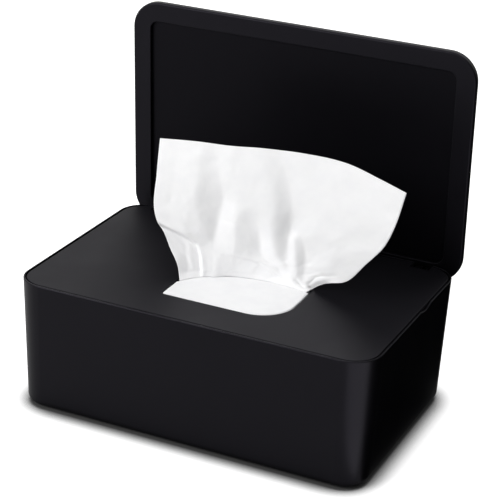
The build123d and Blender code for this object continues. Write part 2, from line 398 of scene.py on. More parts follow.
@dataclass(frozen=True)
class MouldedFinish:
    """Injection-moulded plastic or rubber with a mould grain, smudges, dust and rubbed edges, and, for a
    plate that sits in a rim, painted shade along the plate's outermost edge.
    """

    name: str
    colour: Colour
    dust_colour: Colour = (0.035, 0.035, 0.037)
    worn_colour: Colour = (0.016, 0.016, 0.019)
    roughness: float = 0.38
    smudged: float = 0.05
    specular: float = 0.17
    tint: Colour = (0.86, 0.81, 1.0)
    grain_depth: float = 0.000012
    cells: float = 2600.0
    dust: float = 0.5
    wear: float = 0.5
    edge_width: float = 0.0007
    dust_roughens: float = 0.3
    # The seam settings paint shade: a dark, matt line along the outermost edge of a plate that sits in a rim,
    # in place of the shadow in the seam.
    seam_shade_colour: Colour = (0.0004, 0.0004, 0.0005)
    seam: Point | None = None  # half length, half width and corner radius of a plate in a rim

    def make(self, effects: Effects) -> bpy.types.Material:
        """Builds the material.

        Args:
            effects: the shared shader groups.

        Returns:
            The finished material.
        """
        material, wiring, shader = new_material(self.name)
        grain = wiring.group(effects.grain, {"Cells per metre": self.cells})
        touched = wiring.group(effects.handling)
        edge = wiring.group(effects.edge, {"Width": self.edge_width})
        worn = wiring.math("MULTIPLY", edge.outputs["Edge"], self.wear)
        dusty = wiring.math("MULTIPLY", touched.outputs["Dust"], self.dust)
        rubbed = wiring.blend(worn, (*self.colour, 1), (*self.worn_colour, 1))
        colour = wiring.blend(dusty, rubbed, (*self.dust_colour, 1))
        smudged = wiring.math("MULTIPLY", touched.outputs["Smudge"], -self.smudged)
        roughness = wiring.math("ADD", smudged, self.roughness)
        dulled = wiring.math("MULTIPLY", dusty, self.dust_roughens)
        roughness = wiring.math("ADD", roughness, dulled, clamp=True)
        # Painted shade: the plate's outermost edge is darkened and made matt, for the shadow in the seam
        # between plate and rim.
        if self.seam:
            plate = dict(zip(("Half length", "Half width", "Round"), self.seam))
            seam = wiring.group(effects.seam, plate).outputs["Seam"]
            colour = wiring.blend(seam, colour, (*self.seam_shade_colour, 1))
            roughness = wiring.math("MAXIMUM", roughness, seam)
        bump = wiring.node("ShaderNodeBump", {
            "Height": grain.outputs["Height"], "Distance": self.grain_depth,
            "Normal": edge.outputs["Rounded"],
        })
        wiring.feed(shader, {
            "Base Color": colour, "Roughness": roughness, "Specular IOR Level": self.specular,
            "Specular Tint": (*self.tint, 1), "Normal": bump.outputs[0],
        })
        return material


@dataclass(frozen=True)
class DrawnSteelFinish:
    """Drawn steel wire with fine lines along it."""

    name: str
    colour: Colour
    roughness: float = 0.28
    lines: float = 9000.0
    line_depth: float = 0.000004
    line_shade: float = 0.8
    stretch: float = 0.02
    smudges: float = 300.0
    smudged: float = 0.15

    def make(self, effects: Effects) -> bpy.types.Material:
        """Builds the material.

        Args:
            effects: the shared shader groups.

        Returns:
            The finished material.
        """
        material, wiring, shader = new_material(self.name)
        place = wiring.node("ShaderNodeTexCoord").outputs["Object"]
        drawn = wiring.node("ShaderNodeMapping", {"Vector": place, "Scale": (self.stretch, 1, 1)}).outputs[0]
        streaks = wiring.noise(drawn, self.lines, detail=2.0)
        touched = wiring.group(effects.handling, {"Smudges per metre": self.smudges})
        dark = (*(self.line_shade * part for part in self.colour), 1)
        shade = wiring.blend(streaks, dark, (*self.colour, 1))
        smudged = wiring.math("MULTIPLY", touched.outputs["Smudge"], self.smudged)
        roughness = wiring.math("ADD", smudged, self.roughness)
        bump = wiring.node("ShaderNodeBump", {"Height": streaks, "Distance": self.line_depth})
        wiring.feed(shader, {
            "Base Color": shade, "Roughness": roughness, "Metallic": 1.0, "Normal": bump.outputs[0],
        })
        return material


@dataclass(frozen=True)
class WipeFinish:
    """Damp non-woven viscose: fibres, a slightly cloudy white and a soft sheen."""

    name: str
    colour: Colour
    damp_colour: Colour
    on_sheet: bool = True
    roughness: float = 0.78
    damp_gloss: float = 0.14
    specular: float = 0.3
    fibres: float = 1500.0
    fibre_depth: float = 0.00006

    def make(self, effects: Effects) -> bpy.types.Material:
        """Builds the material.

        Args:
            effects: the shared shader groups.

        Returns:
            The finished material.
        """
        material, wiring, shader = new_material(self.name)
        source = wiring.node("ShaderNodeTexCoord")
        place = source.outputs["UV" if self.on_sheet else "Object"]
        fibres = wiring.group(effects.fibres, {"Vector": place, "Fibres per metre": self.fibres})
        damp = wiring.span(fibres.outputs["Shade"], 0.35, 0.7)
        shade = wiring.blend(damp, (*self.colour, 1), (*self.damp_colour, 1))
        roughness = wiring.math("ADD", wiring.math("MULTIPLY", damp, -self.damp_gloss), self.roughness)
        bump = wiring.node(
            "ShaderNodeBump", {"Height": fibres.outputs["Height"], "Distance": self.fibre_depth}
        )
        wiring.feed(shader, {
            "Base Color": shade, "Roughness": roughness, "Specular IOR Level": self.specular,
            "Normal": bump.outputs[0],
        })
        return material


@dataclass
class Finishes:
    """Every material of the dispenser."""

    effects: Effects = field(default_factory=Effects)

    def __post_init__(self) -> None:
        """Builds the materials."""
        effects = self.effects
        self.plastic = MouldedFinish("black_moulded_plastic", (0.0015, 0.0015, 0.0020)).make(effects)
        # The panel gets painted seam shade along its outermost edge.
        panel_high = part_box("dispensing_panel")[1]
        self.panel = MouldedFinish(
            "black_panel_plastic", (0.0015, 0.0015, 0.0020), roughness=0.54, specular=0.22,
            seam=(panel_high.x, panel_high.y, 0.0134),
        ).make(effects)
        self.liner = MouldedFinish(
            "black_liner_film", (0.0012, 0.0012, 0.0016), roughness=0.42, specular=0.10, wear=0.3,
            cells=3400.0,
        ).make(effects)
        self.seal = MouldedFinish(
            "seal_silicone", (0.018, 0.018, 0.019), roughness=0.55, dust=0.7, wear=0.2, cells=1500.0
        ).make(effects)
        self.pad = MouldedFinish(
            "pad_rubber", (0.020, 0.020, 0.021), roughness=0.8, dust=0.8, wear=0.6, cells=1200.0,
            grain_depth=0.00003,
        ).make(effects)
        self.steel = DrawnSteelFinish("drawn_pin_steel", (0.55, 0.55, 0.57)).make(effects)
        self.wipe = WipeFinish("damp_wipe", (0.92, 0.92, 0.925), (0.90, 0.90, 0.91)).make(effects)
        self.folded = WipeFinish(
            "damp_wipe_folded", (0.91, 0.91, 0.915), (0.885, 0.885, 0.895), on_sheet=False
        ).make(effects)


# ---------------------------------------------------------------- meshes


def link_mesh(name: str, mesh: bpy.types.Mesh) -> bpy.types.Object:
    """Puts a mesh in the scene as an object at the origin.

    Args:
        name: the mesh's and the object's name.
        mesh: the mesh.

    Returns:
        The object.
    """
    made = bpy.data.objects.new(name, mesh)
    bpy.context.scene.collection.objects.link(made)
    return made


def bake_modifiers(piece: bpy.types.Object) -> None:
    """Turns a piece and its modifiers into a plain mesh.

    Args:
        piece: the piece.
    """
    bpy.context.view_layer.update()
    graph = bpy.context.evaluated_depsgraph_get()
    done = bpy.data.meshes.new_from_object(piece.evaluated_get(graph))
    done.name = piece.name
    piece.modifiers.clear()
    piece.data = done


def declare(piece: bpy.types.Object, body: Body, nodes: tuple[str, ...] = ()) -> None:
    """Says what a piece rides on and the nodes that it stands for.

    Args:
        piece: the piece.
        body: the body that it rides on.
        nodes: the nodes that it replaces.
    """
    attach(piece, body.value)
    if nodes:
        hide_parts(*nodes)


def dress_node(name: str, material: bpy.types.Material) -> None:
    """Gives a carried-over node its material.

    Args:
        name: the node's name.
        material: its new material.
    """
    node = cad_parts[name]
    node.data.materials.clear()
    node.data.materials.append(material)


def smooth_curve(points: np.ndarray, count: int) -> np.ndarray:
    """Smooth curve through points, at even steps.

    Args:
        points: one row for each point.
        count: number of points wanted.

    Returns:
        The curve's points.
    """
    run = np.concatenate([[0.0], np.cumsum(np.linalg.norm(np.diff(points, axis=0), axis=1))])
    slope = np.gradient(points, run, axis=0)
    at = np.linspace(0.0, run[-1], count)
    i = np.clip(np.searchsorted(run, at, side="right") - 1, 0, len(points) - 2)
    h = (run[i + 1] - run[i])[:, None]
    t = (at - run[i])[:, None] / h
    return (
        points[i] * (1 + 2 * t) * (1 - t) ** 2
        + slope[i] * h * t * (1 - t) ** 2
        + points[i + 1] * t * t * (3 - 2 * t)
        + slope[i + 1] * h * t * t * (t - 1)
    )


def grid_mesh(name: str, rows: np.ndarray, flat: np.ndarray) -> bpy.types.Mesh:
    """Mesh of quads over a grid of points.

    Args:
        name: the mesh's name.
        rows: points, as rows by columns by 3, in metres.
        flat: the sheet's own coordinates, as rows by columns by 2, in metres.

    Returns:
        The mesh, with its UV map.
    """
    count, width = rows.shape[:2]
    index = np.arange(count * width).reshape(count, width)
    quads = np.stack([index[:-1, :-1], index[:-1, 1:], index[1:, 1:], index[1:, :-1]], axis=-1).reshape(-1, 4)
    mesh = bpy.data.meshes.new(name)
    mesh.from_pydata(rows.reshape(-1, 3).tolist(), [], quads.tolist())
    layer = mesh.uv_layers.new(name="sheet")
    corners = flat.reshape(-1, 2)[quads.ravel()]
    layer.data.foreach_set("uv", corners.astype(np.float32).ravel())
    mesh.shade_smooth()
    mesh.update()
    return mesh


def ring_mesh(name: str, rings: np.ndarray, both_ends: bool = False) -> bpy.types.Mesh:
    """Mesh over closed rings of points, which run from the outside in and anticlockwise.

    Args:
        name: the mesh's name.
        rings: points, as rings by points by 3, in metres.
        both_ends: whether the first ring is closed as well as the last.

    Returns:
        The mesh.
    """
    count, around = rings.shape[:2]
    index = np.arange(count * around).reshape(count, around)
    ahead = np.roll(index, -1, axis=1)
    quads = np.stack([index[:-1], ahead[:-1], ahead[1:], index[1:]], axis=-1).reshape(-1, 4)
    points = [*rings.reshape(-1, 3).tolist(), rings[-1].mean(axis=0).tolist()]
    faces = quads.tolist()
    faces += [(a, b, len(points) - 1) for a, b in zip(index[-1].tolist(), ahead[-1].tolist())]
    if both_ends:
        points.append(rings[0].mean(axis=0).tolist())
        faces += [(b, a, len(points) - 1) for a, b in zip(index[0].tolist(), ahead[0].tolist())]
    mesh = bpy.data.meshes.new(name)
    mesh.from_pydata(points, [], faces)
    mesh.shade_smooth()
    mesh.update()
    return mesh


def thicken(piece: bpy.types.Object, thickness: float) -> None:
    """Gives a sheet its thickness, half to each side.

    Args:
        piece: the piece.
        thickness: its thickness, in metres.
    """
    solid = piece.modifiers.new("thickness", "SOLIDIFY")
    solid.thickness = thickness
    solid.offset = 0.0
    solid.use_even_offset = False


# ---------------------------------------------------------------- the wipes


def nearest(spots: np.ndarray, path: np.ndarray) -> tuple[np.ndarray, np.ndarray, float]:
    """Nearest place on a path.

    Args:
        spots: rows of (across, up).
        path: the path's points.

    Returns:
        Signed distance to the left of the path, distance along it, which runs on past its
        ends, and its length.
    """
    best = np.full(len(spots), np.inf)
    away, along = np.zeros(len(spots)), np.zeros(len(spots))
    run = 0.0
    for k in range(len(path) - 1):
        step = path[k + 1] - path[k]
        length = float(np.hypot(*step))
        way = step / length
        offset = spots - path[k]
        ahead = offset @ way
        side = offset @ np.array([-way[1], way[0]])
        low = -np.inf if k == 0 else 0.0
        high = np.inf if k == len(path) - 2 else length
        held = np.clip(ahead, low, high)
        gap = np.hypot(ahead - held, side)
        nearer = gap < best
        best = np.where(nearer, gap, best)
        away = np.where(nearer, np.where(side >= 0, gap, -gap), away)
        along = np.where(nearer, run + held, along)
        run += length
    return away, along, run


def fade_ends(along: np.ndarray, total: float, ends: Pair) -> np.ndarray:
    """Share that a fold keeps past its two ends.

    Args:
        along: distance along the fold, which runs on past its ends.
        total: the fold's length.
        ends: how far each end fades out.

    Returns:
        One share for each distance.
    """
    before = np.maximum(-along, 0) / ends[0]
    after = np.maximum(along - total, 0) / ends[1]
    return np.exp(-(before**2) - after**2)


def soften(values: np.ndarray, cells: float) -> np.ndarray:
    """Blurs a grid of values.

    Args:
        values: the values, as rows by columns.
        cells: the blur's spread, in cells.

    Returns:
        The blurred values.
    """
    reach = int(math.ceil(3 * cells))
    weights = np.exp(-0.5 * (np.arange(-reach, reach + 1) / cells) ** 2)
    weights /= weights.sum()
    padded = np.pad(values, reach, mode="edge")
    padded = np.apply_along_axis(lambda line: np.convolve(line, weights, mode="valid"), 0, padded)
    return np.apply_along_axis(lambda line: np.convolve(line, weights, mode="valid"), 1, padded)


def unevenness(shape: tuple[int, int], cells: tuple[int, int], seed: int) -> np.ndarray:
    """Smooth random heights over a grid.

    Args:
        shape: rows and columns of the grid.
        cells: number of random cells up and across.
        seed: seed of the draw.

    Returns:
        Heights with a spread of about 1.
    """
    draw = np.random.default_rng(seed).normal(size=(cells[0] + 1, cells[1] + 1))
    up = np.linspace(0, cells[0], shape[0])
    across = np.linspace(0, cells[1], shape[1])
    i = np.clip(up.astype(int), 0, cells[0] - 1)
    j = np.clip(across.astype(int), 0, cells[1] - 1)
    v = (up - i)[:, None]
    u = (across - j)[None, :]
    u, v = u * u * (3 - 2 * u), v * v * (3 - 2 * v)
    low = draw[i][:, j] * (1 - u) + draw[i][:, j + 1] * u
    high = draw[i + 1][:, j] * (1 - u) + draw[i + 1][:, j + 1] * u
    return low * (1 - v) + high * v


@dataclass(frozen=True)
class Pleat:
    """A crest or valley that runs up the standing wipe.

    line holds (across, up, depth) from the top down, in millimetres, as it is seen square on to
    the wipe's broad side. Depth is how far it stands out.
    """

    line: tuple[Point, ...]

    def at(self, up: np.ndarray) -> tuple[np.ndarray, np.ndarray]:
        """Where the pleat is at each height, and how far it stands out there."""
        line = np.array(self.line)[::-1]
        return np.interp(up, line[:, 1], line[:, 0]), np.interp(up, line[:, 1], line[:, 2])


@dataclass(frozen=True)
class Fold:
    """A small crease, with rise and width at its two ends, in millimetres."""

    path: tuple[Pair, ...]
    rise: Pair
    width: Pair
    crest: float = 1.2
    ends: Pair = (8.0, 8.0)

    def height(self, spots: np.ndarray) -> np.ndarray:
        """How far the crease pushes each spot out.

        Args:
            spots: rows of (across, up), in millimetres.

        Returns:
            One height for each spot, in millimetres.
        """
        away, along, total = nearest(spots, np.array(self.path))
        share = np.clip(along / total, 0, 1)
        rise = self.rise[0] + (self.rise[1] - self.rise[0]) * share
        width = self.width[0] + (self.width[1] - self.width[0]) * share
        side = np.sqrt(away**2 + self.crest**2) - self.crest
        return rise * np.exp(-side / width) * fade_ends(along, total, self.ends)


@dataclass(frozen=True)
class Flap:
    """A layer whose edge hangs over the layer behind it, and fades away from that edge.

    The front layer is to the left of path. lift and drop are how far the two layers part, reach
    how far that carries, and turn is half the width of the step between them.
    """

    path: tuple[Pair, ...]
    lift: float
    drop: float
    reach: Pair
    turn: float = 0.6
    ends: Pair = (8.0, 8.0)

    def height(self, spots: np.ndarray) -> np.ndarray:
        """How far the two layers push each spot out.

        Args:
            spots: rows of (across, up), in millimetres.

        Returns:
            One height for each spot, in millimetres.
        """
        away, along, total = nearest(spots, np.array(self.path))
        front = self.lift * np.exp(-np.maximum(away, 0) / self.reach[0])
        behind = -self.drop * np.exp(np.minimum(away, 0) / self.reach[1])
        share = 0.5 + 0.5 * np.tanh(away / self.turn)
        return (front * share + behind * (1 - share)) * fade_ends(along, total, self.ends)


@dataclass
class PulledWipe:
    """The wipe that stands in the opening: gathered at its foot and fanned out at its top."""

    foot: tuple[Point, ...] = (
        (-23.4, -20.8, 68.8), (-19.2, -14.6, 68.8), (-16.8, -11.8, 68.8), (-14.3, -9.7, 68.8),
        (-10.5, -7.9, 68.8), (-7.7, -5.8, 68.8), (-5.0, -3.9, 68.8), (0.4, -1.7, 68.8),
        (8.8, 0.2, 68.8), (16.1, 0.9, 68.8), (22.0, 0.8, 68.8), (26.7, 0.4, 68.8),
        (32.2, -0.3, 68.8), (36.6, -1.2, 68.8),
    )
    left_edge: tuple[Point, ...] = (
        (-23.4, -20.8, 68.8), (-25.9, -18.8, 76.0), (-31.4, -16.8, 83.4), (-36.1, -14.8, 90.0),
        (-40.8, -13.4, 95.3), (-42.6, -12.3, 98.8), (-44.6, -7.3, 116.5), (-45.7, -2.3, 134.1),
    )
    top_edge: tuple[Point, ...] = (
        (-45.7, -2.3, 134.1), (-26.0, -0.5, 135.6), (-8.7, 0.3, 136.4), (9.9, 0.7, 138.5),
        (28.2, 1.0, 139.6), (54.3, 0.8, 138.6), (70.2, -0.1, 134.5), (83.7, -0.9, 130.6),
    )
    right_edge: tuple[Point, ...] = (
        (36.6, -1.2, 68.8), (39.6, 0.0, 70.7), (42.8, 0.0, 73.2), (45.9, 0.0, 75.0), (56.3, 0.2, 78.4),
        (65.9, 0.0, 89.6), (75.3, -0.2, 102.2), (79.5, -0.4, 113.4), (83.7, -0.9, 130.6),
    )
    pleats: tuple[Pleat, ...] = (
        Pleat(((-52.0, 141.0, 1.8), (-50.0, 92.0, 2.2), (-42.0, 80.0, -1.0), (-36.0, 60.0, 0.0))),
        Pleat((
            (-42.0, 141.0, 1.5), (-40.0, 95.0, 2.2), (-38.0, 86.0, 1.6), (-31.8, 79.9, -1.0),
            (-28.9, 68.0, -0.8), (-29.4, 60.0, -0.6),
        )),
        Pleat((
            (-36.0, 141.0, 1.3), (-34.0, 95.0, 2.4), (-31.0, 86.0, 2.2), (-28.4, 79.9, 0.1),
            (-26.2, 68.0, 0.2), (-26.6, 60.0, 0.1),
        )),
        Pleat((
            (-24.2, 138.0, 0.8), (-24.2, 123.7, 1.8), (-25.5, 111.3, 2.6), (-26.4, 102.5, 3.1),
            (-22.8, 93.9, 2.4), (-18.2, 85.7, 0.2), (-20.8, 79.0, -0.3), (-21.2, 72.0, -0.3),
            (-21.6, 66.0, -0.2), (-21.8, 60.0, -0.1),
        )),
        Pleat((
            (-17.2, 137.6, 0.4), (-13.6, 121.8, -0.7), (-11.0, 107.3, -2.5), (-13.0, 97.0, -2.9),
            (-15.4, 84.9, -1.0), (-15.0, 79.0, 0.0), (-14.8, 72.0, 0.3), (-15.8, 66.0, 0.3),
            (-16.8, 60.0, 0.2),
        )),
        Pleat((
            (-12.0, 139.2, 0.6), (-8.0, 128.8, 0.7), (-4.0, 118.0, 0.8), (-2.6, 106.8, 0.9),
            (-4.4, 96.3, 1.4), (-3.6, 88.0, 1.9), (-4.2, 78.6, 1.8), (-5.2, 72.1, 1.3), (-6.2, 60.0, 0.5),
        )),
        Pleat((
            (-10.0, 139.0, 0.5), (-4.5, 128.0, 0.7), (0.5, 118.0, 0.9), (5.2, 106.5, 1.2),
            (7.2, 102.5, 0.2), (9.2, 97.0, -1.7), (10.2, 90.0, -2.3), (10.9, 84.4, -2.3),
            (13.5, 81.1, -1.8), (20.3, 78.5, -0.7), (23.3, 74.6, 0.0), (25.0, 60.0, 0.0),
        )),
        Pleat((
            (-8.0, 139.8, 0.4), (-1.0, 129.0, 0.6), (6.5, 119.0, 0.9), (12.6, 109.0, 1.5),
            (15.6, 98.0, 1.9), (16.2, 90.4, 1.5), (18.4, 83.5, 1.0), (22.3, 81.1, 0.5), (24.0, 76.0, 0.2),
            (25.6, 60.0, 0.0),
        )),
        Pleat((
            (6.0, 139.5, -0.1), (11.5, 129.0, 0.1), (14.8, 119.0, 0.5), (17.2, 109.0, 1.6),
            (18.4, 98.0, 1.3), (18.4, 90.4, 1.1), (20.0, 83.5, 0.8), (23.2, 81.1, 0.4), (24.6, 76.0, 0.3),
            (26.2, 60.0, 0.0),
        )),
        Pleat((
            (17.0, 141.0, -1.8), (19.0, 137.9, -2.2), (24.4, 124.3, -3.2), (26.4, 109.1, -3.8),
            (26.6, 98.7, -3.5), (25.6, 95.5, -3.0), (25.0, 85.0, -1.5), (24.8, 82.0, -0.9),
            (25.6, 79.0, 0.1), (26.8, 74.0, 0.4), (27.2, 60.0, 0.2),
        )),
        Pleat((
            (21.5, 141.0, -1.0), (26.5, 124.3, -2.4), (28.9, 109.0, -3.1), (29.0, 99.0, -2.6),
            (28.4, 96.0, -0.9), (28.4, 93.0, -0.7), (29.2, 88.0, 0.2), (29.6, 82.5, 0.6), (30.0, 78.3, 0.6),
            (30.4, 72.1, 0.4), (31.0, 60.0, 0.3),
        )),
        Pleat((
            (23.5, 141.0, -0.6), (28.5, 124.3, -1.8), (31.0, 109.0, -2.4), (31.6, 99.0, -2.6),
            (33.4, 95.2, -2.9), (34.6, 91.0, -3.2), (35.0, 84.3, -3.0), (34.6, 78.0, -2.0),
            (34.4, 72.0, -0.8), (35.0, 60.0, -0.2),
        )),
        Pleat((
            (26.0, 141.0, 0.0), (31.0, 124.3, -1.0), (33.5, 109.0, -1.8), (34.2, 99.0, -1.9),
            (36.2, 94.7, -2.0), (38.0, 89.7, -2.2), (38.6, 81.3, -2.0), (38.5, 72.0, -0.4),
            (38.2, 60.0, 0.0),
        )),
        Pleat((
            (46.9, 138.9, 1.5), (51.2, 128.1, 2.2), (52.6, 115.5, 2.6), (51.0, 99.3, 2.0),
            (48.5, 86.6, 0.8), (46.0, 76.0, 0.8), (43.0, 60.0, 0.5),
        )),
        Pleat((
            (88.0, 139.0, 4.6), (86.0, 128.0, 5.0), (80.0, 112.0, 5.2), (73.0, 98.0, 4.6),
            (62.0, 86.0, 3.0), (54.0, 76.0, 1.4), (48.0, 60.0, 0.8),
        )),
    )
    creases: tuple[Fold | Flap, ...] = (
        Flap((
            (-52.0, 89.8), (-47.9, 87.8), (-42.1, 86.3), (-30.6, 83.4), (-24.4, 81.0), (-22.3, 76.0),
            (-21.2, 66.0),
        ), 0.9, 3.2, (9.0, 12.0), 0.5, (8.0, 22.0)),
        Flap((
            (0.0, 78.6), (11.1, 78.4), (20.7, 73.2), (24.0, 70.0), (29.8, 68.5),
        ), 0.7, 0.2, (5.0, 6.0), 0.5, (4.0, 3.0)),
        Fold(((-9.3, 96.8), (-4.2, 96.3)), (-0.2, -0.15), (0.8, 0.8), 0.5, (2.0, 2.0)),
        Fold((
            (38.0, 73.6), (41.2, 77.3), (44.7, 79.0), (48.2, 79.8),
        ), (-1.0, -0.5), (1.0, 1.0), 0.5, (1.5, 4.0)),
        Fold(((39.6, 70.7), (42.8, 73.2), (45.9, 75.0)), (-4.0, -3.0), (2.2, 2.6), 1.0, (2.5, 4.0)),
        Fold(((30.8, 73.1), (35.8, 69.4)), (-1.2, -1.2), (0.8, 0.8), 0.4, (1.5, 2.0)),
    )
    view_shift: Pair = (0.4455, 0.4658)
    view_back: Point = (0.37451, -0.84052, 0.39151)
    columns: int = 241
    rows: int = 141
    crisp: Pair = (1.6, 4.5)
    thickness: float = 0.45
    flat: Pair = (0.125, 0.085)
    cockle: Pair = (0.20, 0.06)
    calm_foot: float = 0.05
    crushed: float = 0.0005
    crushed_over: float = 0.32

    def foot_line(self) -> np.ndarray:
        """The line that the sheet leaves the opening on, as rows of (x, y)."""
        return smooth_curve(np.array(self.foot), 61)[:, :2]

    def points(self) -> np.ndarray:
        """The sheet's points before it is folded, as rows from its foot up, in millimetres.

        Returns:
            The points, as rows by columns by 3.
        """
        foot = smooth_curve(np.array(self.foot), self.columns)
        top = smooth_curve(np.array(self.top_edge), self.columns)
        left = smooth_curve(np.array(self.left_edge), self.rows)
        right = smooth_curve(np.array(self.right_edge), self.rows)
        s = np.linspace(0, 1, self.columns)[None, :, None]
        t = np.linspace(0, 1, self.rows)[:, None, None]
        between = (1 - t) * foot[None] + t * top[None]
        across = (1 - s) * left[:, None] + s * right[:, None]
        corners = (1 - t) * ((1 - s) * foot[0] + s * foot[-1]) + t * ((1 - s) * top[0] + s * top[-1])
        return between + across - corners

    def pleated(self, spots: np.ndarray) -> np.ndarray:
        """How far the crests and valleys push each spot out.

        Args:
            spots: rows of (across, up), in millimetres.

        Returns:
            One height for each spot, in millimetres.
        """
        places, depths = zip(*(pleat.at(spots[:, 1]) for pleat in self.pleats))
        height = np.array(depths[0])
        for k in range(len(places) - 1):
            width = np.maximum(places[k + 1] - places[k], 0.05)
            share = np.clip((spots[:, 0] - places[k]) / width, 0, 1)
            height = height + (depths[k + 1] - depths[k]) * share
        return height

    def folded(self) -> np.ndarray:
        """The sheet's points with its folds, in millimetres.

        Returns:
            The points, as rows from the foot up.
        """
        rows = self.points()
        flat = rows.reshape(-1, 3)
        spots = flat[:, [0, 2]] + flat[:, 1:2] * np.array(self.view_shift)
        shape = (self.rows, self.columns)
        pleats = self.pleated(spots).reshape(shape)
        t = np.linspace(0, 1, self.rows)[:, None]
        height = soften(pleats, self.crisp[0]) * (1 - t) + soften(pleats, self.crisp[1]) * t
        for crease in self.creases:
            height = height + crease.height(spots).reshape(shape)
        broad, fine = self.cockle
        height = height + broad * unevenness(shape, (8, 14), 4) + fine * unevenness(shape, (20, 40), 7)
        height = height * np.clip(t / self.calm_foot, 0, 1)
        return rows + height[..., None] * np.array(self.view_back)

    def build(self) -> bpy.types.Object:
        """Builds the standing sheet.

        Returns:
            The piece.
        """
        s = np.linspace(0, self.flat[0], self.columns)
        t = np.linspace(0, self.flat[1], self.rows)
        flat = np.stack(np.meshgrid(s, t), axis=-1)
        piece = link_mesh("standing_wipe", grid_mesh("standing_wipe", self.folded() * MM, flat))
        thicken(piece, self.thickness * MM)
        bake_modifiers(piece)
        return piece

    def dress(self, piece: bpy.types.Object, finishes: Finishes) -> None:
        """Gives the sheet its finish and its place in the frame.

        Args:
            piece: the piece.
            finishes: the materials.
        """
        piece.data.materials.append(finishes.wipe)
        declare(piece, Body.PANEL, ("pulled_wipe",))
        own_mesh(piece)


def inside_box(spots: np.ndarray, low: Pair, high: Pair, rounds: Pair) -> np.ndarray:
    """How far inside a box with round corners each spot lies.

    Args:
        spots: rows of (x, y).
        low: the box's lowest corner.
        high: its highest corner.
        rounds: radius of its left corners and of its right corners.

    Returns:
        One distance for each spot, negative outside.
    """
    x, y = spots[:, 0], spots[:, 1]
    inside = np.minimum(np.minimum(x - low[0], high[0] - x), np.minimum(y - low[1], high[1] - y))
    for side_x, radius, way_x in ((low[0], rounds[0], -1), (high[0], rounds[1], 1)):
        for side_y, way_y in ((low[1], -1), (high[1], 1)):
            over_x = (x - side_x) * way_x + radius
            over_y = (y - side_y) * way_y + radius
            corner = (over_x > 0) & (over_y > 0)
            inside = np.where(corner, radius - np.hypot(over_x, over_y), inside)
    return inside


def reach_out(inside: Callable[[np.ndarray], np.ndarray], middle: Pair, ways: np.ndarray) -> np.ndarray:
    """How far an outline is from a middle point, in each direction.

    Args:
        inside: how far inside the outline each spot lies.
        middle: the point that the directions start from.
        ways: one row of (x, y) for each direction.

    Returns:
        One distance for each direction.
    """
    near, far = np.zeros(len(ways)), np.full(len(ways), 120.0)
    for _ in range(30):
        half = (near + far) / 2
        within = inside(np.array(middle) + ways * half[:, None]) > 0
        near, far = np.where(within, half, near), np.where(within, far, half)
    return near


